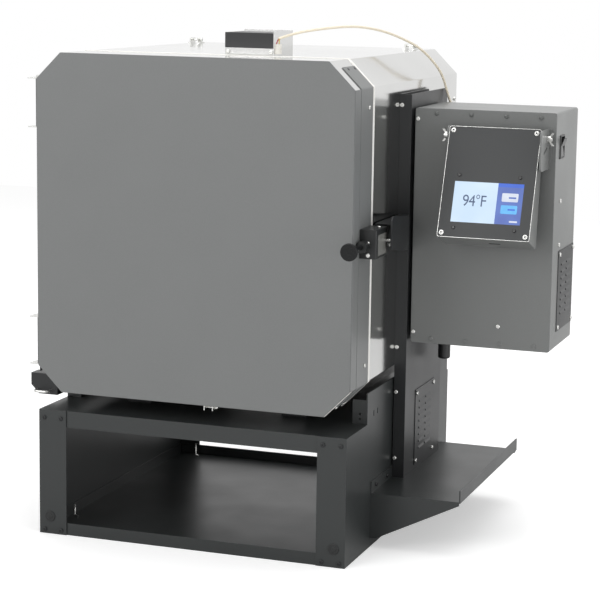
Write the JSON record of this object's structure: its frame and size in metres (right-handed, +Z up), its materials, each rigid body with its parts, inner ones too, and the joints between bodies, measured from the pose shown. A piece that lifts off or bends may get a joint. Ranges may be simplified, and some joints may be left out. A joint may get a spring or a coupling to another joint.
{
  "type": "heat treat oven",
  "caption": "Front-loading heat treat oven on an open stand: octagonal brick-lined body, side-hinged door with a pull latch, tilting touch screen on a side control box, side shelf.",
  "frame": {"origin": "centre of the stand's footprint, on the floor", "axes": "+X to the right as seen from the door, +Y towards the back, +Z up"},
  "size_m": [0.8056, 0.5884, 0.7953],
  "materials": {
    "door_paint": "fine satin powder coat, mid grey",
    "stand_paint": "fine textured powder coat, charcoal",
    "box_paint": "fine textured powder coat, dark grey",
    "black_paint": "satin black",
    "polished_stainless": "polished stainless sheet",
    "plated_steel": "bright zinc plating",
    "back_steel": "plain stainless sheet",
    "fire_brick": "insulating fire brick, off white",
    "fibre_board": "ceramic fibre, white",
    "ceramic": "glazed ceramic",
    "element_alloy": "oxidised heating alloy",
    "brass": "plain",
    "black_plastic": "moulded black",
    "knob_plastic": "moulded black",
    "lead_sleeve": "woven glass sleeve, off white",
    "screen_glass": "lit touch screen",
    "device_plastic": "moulded grey"
  },
  "bodies": {
    "oven": {"stand_side_left": "stand_paint", "stand_side_right": "stand_paint", "stand_deck": "stand_paint", "stand_floor": "stand_paint", "black_screws": "black_paint", "bright_screws": "plated_steel", "stand_plugs": "black_plastic", "body_runners": "black_paint", "side_shelf": "stand_paint", "shelf_gussets": "stand_paint", "body_jacket": "polished_stainless", "jacket_clamps": "plated_steel", "brick_floor": "fire_brick", "brick_roof": "fire_brick", "brick_left": "fire_brick", "brick_right": "fire_brick", "brick_back": "fire_brick", "heating_elements": "element_alloy", "element_bushings": "ceramic", "element_terminals": "brass", "back_cover": "back_steel", "junction_bracket": "polished_stainless", "junction_cover": "black_paint", "thermocouple_probe": "ceramic", "terminal_block": "ceramic", "thermocouple_lead": "lead_sleeve", "hinge_brackets": "plated_steel", "hinge_pins": "plated_steel", "lower_bracket": "black_paint", "lower_stirrup": "plated_steel", "strike_bracket": "black_paint", "wiring_channel": "black_paint", "vent_plates": "black_paint", "control_box_shell": "box_paint", "control_box_front": "box_paint", "switch_bezel": "black_plastic", "pivot_cheeks": "box_paint", "contactors": "device_plastic", "power_supply": "back_steel", "cable_glands": "black_plastic"},
    "door": {"door_plate": "door_paint", "door_backing": "fibre_board", "door_brick": "fire_brick", "door_seal": "fibre_board", "door_jacket": "polished_stainless", "door_side_cover": "door_paint", "door_screws": "plated_steel", "door_clamp": "plated_steel", "hinge_leaves": "black_paint", "latch_housing": "black_plastic"},
    "knob": {"latch_knob": "knob_plastic"},
    "bolt": {"latch_bolt": "plated_steel"},
    "screen": {"display_plate": "black_paint", "display_housing": "box_paint", "touchscreen": "screen_glass", "display_screws": "plated_steel", "pivot_bolts": "plated_steel"},
    "left_wing_nut": {"wing_nut_left": "plated_steel"},
    "right_wing_nut": {"wing_nut_right": "plated_steel"},
    "rocker": {"power_rocker": "knob_plastic"}
  },
  "joints": [
    {"name": "door_hinge", "type": "hinge", "parent": "oven", "child": "door", "pos_m": [-0.282, -0.202, 0.48], "axis": [0, 0, -1], "range_deg": [0, 170]},
    {"name": "latch_pull", "type": "slide", "parent": "door", "child": "knob", "axis": [0, -1, 0], "range_m": [0, 0.008], "stiffness_N_per_m": 500},
    {"name": "latch_bolt_slide", "type": "slide", "parent": "door", "child": "bolt", "axis": [-1, 0, 0], "range_m": [0, 0.008]},
    {"name": "screen_tilt", "type": "hinge", "parent": "oven", "child": "screen", "pos_m": [0.4094, -0.05748, 0.63263], "axis": [-1, 0, 0], "range_deg": [-8, 15]},
    {"name": "left_wing_nut_turn", "type": "hinge", "parent": "screen", "child": "left_wing_nut", "pos_m": [0.3299, -0.05748, 0.63263], "axis": [-1, 0, 0], "range_deg": [0, 180]},
    {"name": "right_wing_nut_turn", "type": "hinge", "parent": "screen", "child": "right_wing_nut", "pos_m": [0.493, -0.05748, 0.63263], "axis": [1, 0, 0], "range_deg": [0, 180]},
    {"name": "power_rocker_turn", "type": "hinge", "parent": "oven", "child": "rocker", "pos_m": [0.494, -0.0035, 0.618], "axis": [0, -1, 0], "range_deg": [0, 18]}
  ],
  "couplings": [
    {"joint": "latch_bolt_slide", "follows": "latch_pull", "ratio": 1}
  ]
}
